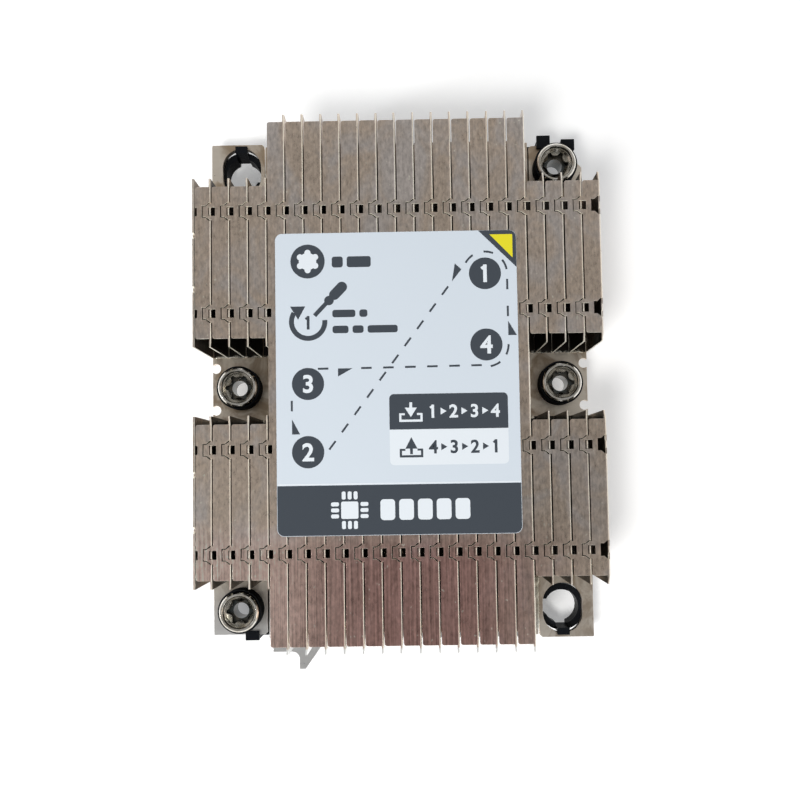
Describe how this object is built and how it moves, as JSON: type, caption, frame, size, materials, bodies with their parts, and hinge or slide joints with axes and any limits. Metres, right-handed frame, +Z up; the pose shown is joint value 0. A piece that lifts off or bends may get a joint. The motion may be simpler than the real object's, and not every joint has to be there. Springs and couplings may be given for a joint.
{
  "type": "server processor heatsink",
  "caption": "Low passive server heatsink with zipped fins over a vapour chamber, a stamped mounting plate, captive six-lobe nuts and a clipped-on processor carrier.",
  "frame": {"origin": "centre of the face that touches the processor", "axes": "+Z up, away from the processor; +Y to the rear along the fins; +X to the right"},
  "size_m": [0.0822, 0.1156, 0.0287],
  "materials": {
    "fin_sheet": "nickel plated, satin",
    "plate": "nickel plated, satin",
    "chamber": "nickel plated copper, satin",
    "nut": "turned, bright nickel",
    "clip": "stamped spring steel",
    "collar": "black moulded",
    "carrier": "black moulded",
    "label": "printed film"
  },
  "bodies": {
    "heatsink": {"collar_front_left": "collar", "collar_left": "collar", "collar_rear_right": "collar", "collar_right": "collar", "end_plate_front_left": "fin_sheet", "end_plate_rear_left": "fin_sheet", "fin_front_left_1": "fin_sheet", "fin_front_left_2": "fin_sheet", "fin_front_left_3": "fin_sheet", "fin_front_left_4": "fin_sheet", "fin_front_right_1": "fin_sheet", "fin_front_right_2": "fin_sheet", "fin_front_right_3": "fin_sheet", "fin_front_right_4": "fin_sheet", "fin_long_01": "fin_sheet", "fin_long_02": "fin_sheet", "fin_long_03": "fin_sheet", "fin_long_04": "fin_sheet", "fin_long_05": "fin_sheet", "fin_long_06": "fin_sheet", "fin_long_07": "fin_sheet", "fin_long_08": "fin_sheet", "fin_long_09": "fin_sheet", "fin_long_10": "fin_sheet", "fin_long_11": "fin_sheet", "fin_long_12": "fin_sheet", "fin_long_13": "fin_sheet", "fin_long_14": "fin_sheet", "fin_rear_left_1": "fin_sheet", "fin_rear_left_2": "fin_sheet", "fin_rear_left_3": "fin_sheet", "fin_rear_left_4": "fin_sheet", "fin_rear_right_1": "fin_sheet", "fin_rear_right_2": "fin_sheet", "fin_rear_right_3": "fin_sheet", "fin_rear_right_4": "fin_sheet", "label": "label", "mounting_plate": "plate", "processor_carrier": "carrier", "vapour_chamber": "chamber"},
    "screw_rear_right": {"nut_rear_right": "nut", "clip_rear_right": "clip"},
    "screw_front_left": {"nut_front_left": "nut", "clip_front_left": "clip"},
    "screw_left": {"nut_left": "nut", "clip_left": "clip"},
    "screw_right": {"nut_right": "nut", "clip_right": "clip"}
  },
  "joints": [
    {"name": "turn_rear_right", "type": "hinge", "parent": "heatsink", "child": "screw_rear_right", "pos_m": [0.0345, 0.0474, 0.0045], "axis": [0, 0, 1], "continuous": true},
    {"name": "turn_front_left", "type": "hinge", "parent": "heatsink", "child": "screw_front_left", "pos_m": [-0.0345, -0.0474, 0.0045], "axis": [0, 0, 1], "continuous": true},
    {"name": "turn_left", "type": "hinge", "parent": "heatsink", "child": "screw_left", "pos_m": [-0.0345, 0, 0.0045], "axis": [0, 0, 1], "continuous": true},
    {"name": "turn_right", "type": "hinge", "parent": "heatsink", "child": "screw_right", "pos_m": [0.0345, 0, 0.0045], "axis": [0, 0, 1], "continuous": true}
  ]
}
